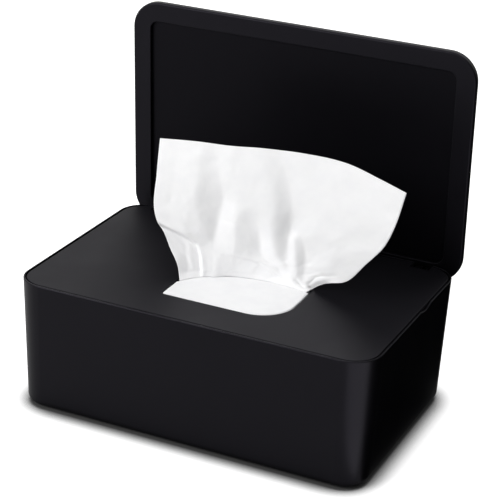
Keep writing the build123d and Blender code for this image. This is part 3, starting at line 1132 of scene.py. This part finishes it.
@dataclass
class NextWipe:
    """The next wipe: it lies on the stack, and its fold fills the opening.

    Sizes are in millimetres. low, high and rounds are those of the opening.
    """

    standing: PulledWipe
    low: Pair = (-24.5, -38.0)
    high: Pair = (38.5, 16.0)
    rounds: Pair = (1.2, 18.0)
    gap: float = 0.5
    foot_gap: float = 0.6
    middle: Pair = (7.0, -20.0)
    level: float = 68.55
    shoulder: Pair = (0.8, 0.45)
    foot_lift: Pair = (0.35, 3.0)
    foot_shoulder: float = 0.25
    foot_reach: float = 1.5
    skirt_round: float = 4.0
    skirt_rise: float = 1.2
    wave: float = 0.10
    around: int = 540
    creases: tuple[Fold, ...] = (
        Fold(((-30.0, -24.0), (-16.0, -44.0)), (0.35, 0.3), (3.5, 3.0), 2.0),
        Fold(((-8.0, -6.0), (4.0, -26.0)), (0.15, 0.10), (4.0, 4.0), 2.0),
        Fold(((34.0, -7.0), (22.0, -12.0), (10.0, -18.0)), (0.30, 0.10), (2.5, 4.0), 1.0),
    )
    thickness: float = 0.45
    flat: Pair = (0.106, 0.064)

    def inside(self, spots: np.ndarray) -> np.ndarray:
        """How far inside the fold's outline each spot lies.

        Args:
            spots: rows of (x, y).

        Returns:
            One distance for each spot, negative outside.
        """
        opening = inside_box(spots, self.low, self.high, self.rounds)
        foot = -nearest(spots, self.standing.foot_line())[0]
        return np.minimum(opening - self.gap, foot - self.foot_gap)

    def top(self, spots: np.ndarray) -> np.ndarray:
        """Height of the fold over each spot.

        Args:
            spots: rows of (x, y).

        Returns:
            One height for each spot.
        """
        foot = -nearest(spots, self.standing.foot_line())[0]
        lift, reach = self.foot_lift
        waves = self.wave * np.sin(spots[:, 0] / 7.0 + 0.8) * np.cos(spots[:, 1] / 9.0)
        rise = sum(crease.height(spots) for crease in self.creases)
        return self.level + lift * np.exp(-np.maximum(foot, 0) / reach) + waves + rise

    def rings(self) -> np.ndarray:
        """The sheet's rings of points, from its outer edge to the middle of the fold.

        Returns:
            The points, as rings by points by 3.
        """
        lowest, highest = (np.array(corner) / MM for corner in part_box("next_wipe"))
        foot = lowest[2] + self.thickness / 2
        turn = np.linspace(0, 2 * math.pi, self.around, endpoint=False)
        ways = np.stack([np.cos(turn), np.sin(turn)], axis=1)
        reach = reach_out(self.inside, self.middle, ways)
        spread = reach_out(
            lambda spots: inside_box(spots, lowest[:2], highest[:2], (self.skirt_round,) * 2),
            self.middle, ways,
        )
        edge = np.array(self.middle) + ways * reach[:, None]
        to_foot = -nearest(edge, self.standing.foot_line())[0]
        near_foot = np.exp(-np.maximum(to_foot - self.foot_gap, 0) / self.foot_reach)
        drop = self.shoulder[1] + (self.foot_shoulder - self.shoulder[1]) * near_foot
        rim = self.top(edge) - drop
        rings = []

        def add(distance: np.ndarray, height: np.ndarray) -> None:
            """Adds one ring, at a distance from the middle and at a height.

            Args:
                distance: how far each point is from the middle.
                height: height of each point.
            """
            flat = np.array(self.middle) + ways * distance[:, None]
            rings.append(np.column_stack([flat, height]))

        for share in np.linspace(0, 1, 9):
            rise = self.skirt_rise * share**3
            add(spread + (reach - spread) * share, np.full(self.around, foot) + rise)
        wall_foot = foot + self.skirt_rise
        for share in (0.12, 0.3, 0.5, 0.7, 0.88):
            add(reach, wall_foot + (rim - wall_foot) * share)
        for share in (0.0, 0.03, 0.1, 0.2, 0.35, 0.55, 0.78, 1.0):
            inner = reach - self.shoulder[0] * share
            flat = np.array(self.middle) + ways * inner[:, None]
            fall = 1 - np.sqrt(np.maximum(1 - (1 - share) ** 2, 0))
            add(inner, self.top(flat) - drop * fall)
        inner = reach - self.shoulder[0]
        for share in np.linspace(0.97, 0.03, 32):
            flat = np.array(self.middle) + ways * (inner * share)[:, None]
            add(inner * share, self.top(flat))
        return np.array(rings)

    def build(self) -> bpy.types.Object:
        """Builds the sheet.

        Returns:
            The piece.
        """
        piece = link_mesh("folded_next_wipe", ring_mesh("folded_next_wipe", self.rings() * MM))
        thicken(piece, self.thickness * MM)
        bake_modifiers(piece)
        return piece

    def dress(self, piece: bpy.types.Object, finishes: Finishes) -> None:
        """Gives the sheet its finish and its place in the frame.

        Args:
            piece: the piece.
            finishes: the materials.
        """
        piece.data.materials.append(finishes.folded)
        declare(piece, Body.TUB, ("next_wipe",))


@dataclass
class WipeTail:
    """The end of the pulled wipe that hangs through the opening."""

    standing: PulledWipe
    rows: int = 9
    thickness: float = 0.45
    sway: float = 0.12
    flat: Pair = (0.074, 0.010)
    area: float = 0.00050

    def build(self) -> bpy.types.Object:
        """Builds the hanging sheet.

        Returns:
            The piece.
        """
        line = smooth_curve(np.array(self.standing.foot), self.standing.columns)
        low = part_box("wipe_tail")[0].z / MM
        share = np.linspace(0, 1, self.rows)[:, None]
        rows = np.repeat(line[None], self.rows, axis=0)
        rows[..., 2] = low + (line[None, :, 2] - low) * share
        rows[..., 1] += self.sway * (1 + np.sin(line[None, :, 0] / 1.7)) * (1 - share)
        s = np.linspace(0, self.flat[0], self.standing.columns)
        t = np.linspace(-self.flat[1], 0, self.rows)
        flat = np.stack(np.meshgrid(s, t), axis=-1)
        piece = link_mesh("hanging_wipe_tail", grid_mesh("hanging_wipe_tail", rows * MM, flat))
        thicken(piece, self.thickness * MM)
        bake_modifiers(piece)
        return piece

    def dress(self, piece: bpy.types.Object, finishes: Finishes) -> None:
        """Gives the sheet its finish and its place in the frame.

        Args:
            piece: the piece.
            finishes: the materials.
        """
        piece.data.materials.append(finishes.wipe)
        declare(piece, Body.PANEL, ("wipe_tail",))


@dataclass
class WipesStack:
    """The folded wipes in the tub, laid on each other by Geometry Nodes."""

    layers: int = 56
    corner: float = 4.0
    air: float = 0.06
    jitter: float = 0.35
    turn: float = math.radians(0.12)
    seed: int = 11

    def layer(self, half: Pair, height: float) -> bpy.types.Mesh:
        """One folded wipe with round edges, on the origin.

        Args:
            half: half its length and half its width, in millimetres.
            height: its height, in millimetres.

        Returns:
            Its mesh.
        """
        ways = []
        for start, (way_x, way_y) in zip((0, 90, 180, 270), ((1, 1), (-1, 1), (-1, -1), (1, -1))):
            for turn in np.radians(start + np.linspace(0, 90, 7)):
                ways.append((way_x, way_y, math.cos(turn), math.sin(turn)))
        ways = np.array(ways)
        corners = ways[:, :2] * (np.array(half) - self.corner)
        rings = []
        for turn in np.radians(np.linspace(-90, 90, 7)):
            radius = self.corner - height / 2 + height / 2 * math.cos(turn)
            flat = corners + ways[:, 2:] * radius
            rings.append(np.column_stack([flat, np.full(len(flat), height / 2 * (1 + math.sin(turn)))]))
        return ring_mesh("folded_wipe", np.array(rings) * MM, both_ends=True)

    def layout(self) -> bpy.types.NodeTree:
        """Geometry Nodes: lays copies of a piece on each other, each a little out of line.

        Returns:
            The tree.
        """
        tree = bpy.data.node_groups.new("Wipe layers", "GeometryNodeTree")
        for label, kind in (
            ("Geometry", "NodeSocketGeometry"), ("Layers", "NodeSocketInt"), ("Lowest", "NodeSocketFloat"),
            ("Step", "NodeSocketFloat"), ("Jitter", "NodeSocketFloat"), ("Turn", "NodeSocketFloat"),
            ("Seed", "NodeSocketInt"), ("Finish", "NodeSocketMaterial"),
        ):
            tree.interface.new_socket(label, in_out="INPUT", socket_type=kind)
        tree.interface.new_socket("Geometry", in_out="OUTPUT", socket_type="NodeSocketGeometry")
        wiring = Wiring(tree)
        given = wiring.node("NodeGroupInput").outputs
        start = wiring.node("ShaderNodeCombineXYZ", {"Z": given["Lowest"]}).outputs[0]
        step = wiring.node("ShaderNodeCombineXYZ", {"Z": given["Step"]}).outputs[0]
        line = wiring.node(
            "GeometryNodeMeshLine",
            {"Count": given["Layers"], "Start Location": start, "Offset": step},
            mode="OFFSET",
        ).outputs[0]
        back = wiring.math("MULTIPLY", given["Jitter"], -1.0)
        most = wiring.node("ShaderNodeCombineXYZ", {"X": given["Jitter"], "Y": given["Jitter"]}).outputs[0]
        least = wiring.node("ShaderNodeCombineXYZ", {"X": back, "Y": back}).outputs[0]
        shift = wiring.node(
            "FunctionNodeRandomValue", {0: least, 1: most, "Seed": given["Seed"]}, data_type="FLOAT_VECTOR"
        ).outputs[0]
        moved = wiring.node("GeometryNodeSetPosition", {"Geometry": line, "Offset": shift}).outputs[0]
        left = wiring.math("MULTIPLY", given["Turn"], -1.0)
        twist = wiring.node(
            "FunctionNodeRandomValue",
            {2: left, 3: given["Turn"], "Seed": wiring.math("ADD", given["Seed"], 5.0)},
            data_type="FLOAT",
        ).outputs[1]
        turned = wiring.node("ShaderNodeCombineXYZ", {"Z": twist}).outputs[0]
        laid = wiring.node(
            "GeometryNodeInstanceOnPoints",
            {"Points": moved, "Instance": given["Geometry"], "Rotation": turned},
        ).outputs[0]
        whole = wiring.node("GeometryNodeRealizeInstances", {"Geometry": laid}).outputs[0]
        done = wiring.node("GeometryNodeSetMaterial", {"Geometry": whole, "Material": given["Finish"]})
        wiring.node("NodeGroupOutput", {0: done.outputs[0]})
        return tree

    def build(self, finishes: Finishes) -> bpy.types.Object:
        """Builds the stack inside its place in the frame.

        Args:
            finishes: the materials.

        Returns:
            The piece.
        """
        low, high = (np.array(corner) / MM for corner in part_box("wipes_stack"))
        step = (high[2] - low[2]) / self.layers
        half = tuple((high[:2] - low[:2]) / 2 - self.jitter)
        piece = link_mesh("wipes_stack_layers", self.layer(half, step - self.air))
        layers = piece.modifiers.new("layers", "NODES")
        layers.node_group = self.layout()
        values = {
            "Layers": self.layers, "Lowest": float(low[2] * MM), "Step": float(step * MM),
            "Jitter": self.jitter * MM, "Turn": self.turn, "Seed": self.seed, "Finish": finishes.folded,
        }
        for item in layers.node_group.interface.items_tree:
            if item.in_out == "INPUT" and item.name in values:
                layers[item.identifier] = values[item.name]
        bake_modifiers(piece)
        return piece

    def dress(self, piece: bpy.types.Object) -> None:
        """Gives the stack its place in the frame."""
        declare(piece, Body.TUB, ("wipes_stack",))


# ---------------------------------------------------------------- sub-assemblies


@dataclass
class Tub:
    """The tub, with its non-slip pads."""

    shell: str = "tub"
    pads: tuple[str, ...] = ("pad_front_left", "pad_back_left", "pad_front_right", "pad_back_right")

    def dress(self, finishes: Finishes) -> None:
        """Gives the tub and its pads their finishes.

        Args:
            finishes: the materials.
        """
        dress_node(self.shell, finishes.plastic)
        for pad in self.pads:
            dress_node(pad, finishes.pad)


@dataclass
class Panel:
    """The dispensing panel, with the seal round its skirt."""

    plate: str = "dispensing_panel"
    seal: str = "skirt_seal"

    def dress(self, finishes: Finishes) -> None:
        """Gives the panel and its seal their finishes."""
        dress_node(self.plate, finishes.panel)
        dress_node(self.seal, finishes.seal)


@dataclass
class Lid:
    """The lid, with its liner and its hinge pins."""

    shell: str = "lid_shell"
    liner: str = "lid_liner"
    pins: tuple[str, ...] = ("hinge_pin_left", "hinge_pin_right")

    def dress(self, finishes: Finishes) -> None:
        """Gives the lid, its liner and its pins their finishes.

        Args:
            finishes: the materials.
        """
        dress_node(self.shell, finishes.plastic)
        dress_node(self.liner, finishes.liner)
        for pin in self.pins:
            dress_node(pin, finishes.steel)


@dataclass
class Wipes:
    """The wipes: the stack, the next wipe, and the one that is pulled half out."""

    standing: PulledWipe = field(default_factory=PulledWipe)

    def build(self, finishes: Finishes) -> None:
        """Builds and dresses the four pieces.

        Args:
            finishes: the materials.
        """
        stack = WipesStack()
        stack.dress(stack.build(finishes))
        for sheet in (NextWipe(self.standing), WipeTail(self.standing), self.standing):
            sheet.dress(sheet.build(), finishes)


# ---------------------------------------------------------------- camera and studio


@dataclass(frozen=True)
class Viewpoint:
    """Where the camera stands and how it is turned."""

    place: Point = (0.32297, -0.71417, 0.41673)
    right: Point = (0.90497, 0.42329, 0.04310)
    up: Point = (-0.20194, 0.33816, 0.91917)
    back: Point = (0.37451, -0.84052, 0.39151)
    lens: float = 122.82
    sensor: float = 36.0

    def build(self) -> None:
        """Makes the scene's camera."""
        data = bpy.data.cameras.new("camera")
        data.lens = self.lens
        data.sensor_width = self.sensor
        camera = bpy.data.objects.new("camera", data)
        bpy.context.scene.collection.objects.link(camera)
        turn = Matrix((self.right, self.up, self.back)).transposed().to_4x4()
        camera.matrix_world = Matrix.Translation(self.place) @ turn
        bpy.context.scene.camera = camera


@dataclass(frozen=True)
class Lamp:
    """A softbox."""

    name: str
    place: Point
    aim: Point
    size: tuple[float, float]
    power: float
    colour: Colour = (1.0, 1.0, 1.0)

    def build(self) -> None:
        """Hangs the lamp."""
        data = bpy.data.lights.new(self.name, "AREA")
        data.shape = "RECTANGLE"
        data.size, data.size_y = self.size
        data.energy = self.power
        data.color = self.colour
        lamp = bpy.data.objects.new(self.name, data)
        bpy.context.scene.collection.objects.link(lamp)
        lamp.location = self.place
        lamp.rotation_mode = "QUATERNION"
        lamp.rotation_quaternion = (Vector(self.aim) - Vector(self.place)).to_track_quat("-Z", "Y")


def stage_plate(name: str, corners: tuple[Point, Point, Point, Point]) -> bpy.types.Object:
    """Puts a flat plate in the studio, which isn't part of the object.

    Args:
        name: the plate's name.
        corners: its four corners.

    Returns:
        The plate.
    """
    mesh = bpy.data.meshes.new(name)
    mesh.from_pydata(corners, [], [(0, 1, 2, 3)])
    plate = link_mesh(name, mesh)
    plate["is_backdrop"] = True
    return plate


@dataclass(frozen=True)
class Card:
    """A card beside the object that only its gloss sees: black to hold reflections down, or white."""

    name: str
    low: Point
    high: Point
    glow: float = 0.0

    def build(self) -> None:
        """Stands the card in the studio."""
        (x0, y0, z0), (x1, y1, z1) = self.low, self.high
        if z0 == z1:
            corners = ((x0, y0, z0), (x1, y0, z0), (x1, y1, z0), (x0, y1, z0))
        else:
            corners = ((x0, y0, z0), (x0, y1, z0), (x0, y1, z1), (x0, y0, z1))
        card = stage_plate(self.name, corners)
        for ray in ("camera", "diffuse", "transmission", "volume_scatter", "shadow"):
            setattr(card, f"visible_{ray}", False)
        material = bpy.data.materials.new(self.name)
        wiring = emptied(material)
        shine = wiring.node("ShaderNodeEmission", {"Strength": self.glow})
        wiring.node("ShaderNodeOutputMaterial", {"Surface": shine.outputs[0]})
        card.data.materials.append(material)


@dataclass(frozen=True)
class Studio:
    """Pale floor with a painted contact shadow, white surroundings and soft lamps."""

    floor_size: float = 12.0
    floor_colour: Colour = (0.80, 0.80, 0.80)
    floor_glow: float = 0.80
    floor_mirrored: float = 0.0
    # The shadow settings paint the floor's contact shadow: an ambient-occlusion mask that darkens its colour
    # and glow near the object.
    shadow_reach: float = 0.014
    shadow_from: float = 0.40
    shadow_shade: float = 0.12
    shadow_samples: int = 16
    sky_seen: float = 1.0
    sky_mirrored: float = 0.90
    sky_light: float = 0.43
    lamps: tuple[Lamp, ...] = (
        Lamp("key_softbox", (-0.80, -1.15, 0.80), (0.0, 0.0, 0.08), (0.7, 0.7), 15.5),
        Lamp("overhead_softbox", (0.1, 0.1, 1.5), (0.0, 0.0, 0.0), (1.2, 1.2), 5.0),
    )
    cards: tuple[Card, ...] = (
        Card("black_floor_card", (0.0955, -0.052, 0.0006), (1.0, 1.4, 0.0006)),
        Card("black_side_card", (0.7, -0.3, 0.0), (0.7, 1.4, 1.0)),
        Card("white_corner_card", (0.10, -0.34, 0.0008), (0.5, -0.06, 0.0008), 1.9),
    )

    def build(self) -> None:
        """Builds the floor, the surroundings and the lamps."""
        scene = bpy.context.scene
        scene.view_settings.view_transform = "Standard"
        self.build_sky(scene)
        self.build_floor()
        for light in (*self.lamps, *self.cards):
            light.build()

    def build_sky(self, scene: bpy.types.Scene) -> None:
        """Makes the white surroundings.

        Args:
            scene: the scene that they surround.
        """
        world = bpy.data.worlds.new("surroundings")
        scene.world = world
        wiring = emptied(world)
        in_view, mirrored = wiring.rays()
        seen = wiring.math("MULTIPLY", in_view, self.sky_seen - self.sky_light)
        glossy = wiring.math("MULTIPLY", mirrored, self.sky_mirrored - self.sky_light)
        strength = wiring.math("ADD", wiring.math("ADD", seen, glossy), self.sky_light)
        light = wiring.node("ShaderNodeBackground", {"Color": (1, 1, 1, 1), "Strength": strength})
        wiring.node("ShaderNodeOutputWorld", {"Surface": light.outputs[0]})

    def build_floor(self) -> None:
        """Makes the floor, whose glow whitens it; near the object an ambient-occlusion mask darkens its
        colour and glow, a painted contact shadow, while the lamps' shadow stays in its diffuse light.
        """
        half = self.floor_size / 2
        floor = stage_plate("floor", ((-half, -half, 0), (half, -half, 0), (half, half, 0), (-half, half, 0)))
        material = bpy.data.materials.new("floor_paper")
        wiring = emptied(material)
        in_view, mirrored = wiring.rays()
        # Painted contact shadow: ambient occlusion near the object darkens the floor's glow and colour.
        crowded = wiring.node(
            "ShaderNodeAmbientOcclusion", {"Distance": self.shadow_reach}, samples=self.shadow_samples
        )
        open_sky = wiring.span(crowded.outputs["AO"], self.shadow_from, 1.0)
        seen = wiring.math("MULTIPLY", wiring.math("MULTIPLY", in_view, self.floor_glow), open_sky)
        glow = wiring.math("ADD", seen, wiring.math("MULTIPLY", mirrored, self.floor_mirrored))
        painted_shadow_colour = (*(self.shadow_shade * part for part in self.floor_colour), 1)
        colour = wiring.blend(open_sky, painted_shadow_colour, (*self.floor_colour, 1))
        paper = wiring.node("ShaderNodeBsdfDiffuse", {"Color": colour})
        shine = wiring.node("ShaderNodeEmission", {"Strength": glow})
        both = wiring.node("ShaderNodeAddShader", {0: paper.outputs[0], 1: shine.outputs[0]})
        wiring.node("ShaderNodeOutputMaterial", {"Surface": both.outputs[0]})
        floor.data.materials.append(material)


def write_sizes() -> None:
    """Updates the view layer."""
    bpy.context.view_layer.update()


def main() -> None:
    """Builds the dispenser, its finishes and the studio."""
    logging.basicConfig(level=logging.INFO, format="%(name)s: %(message)s")
    Viewpoint().build()
    Studio().build()
    finishes = Finishes()
    for assembly in (Tub(), Panel(), Lid()):
        assembly.dress(finishes)
    Wipes().build(finishes)
    write_sizes()
    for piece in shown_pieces():
        LOG.info("%s: %d faces", piece.name, len(piece.data.polygons))


if __name__ == "__main__":
    main()
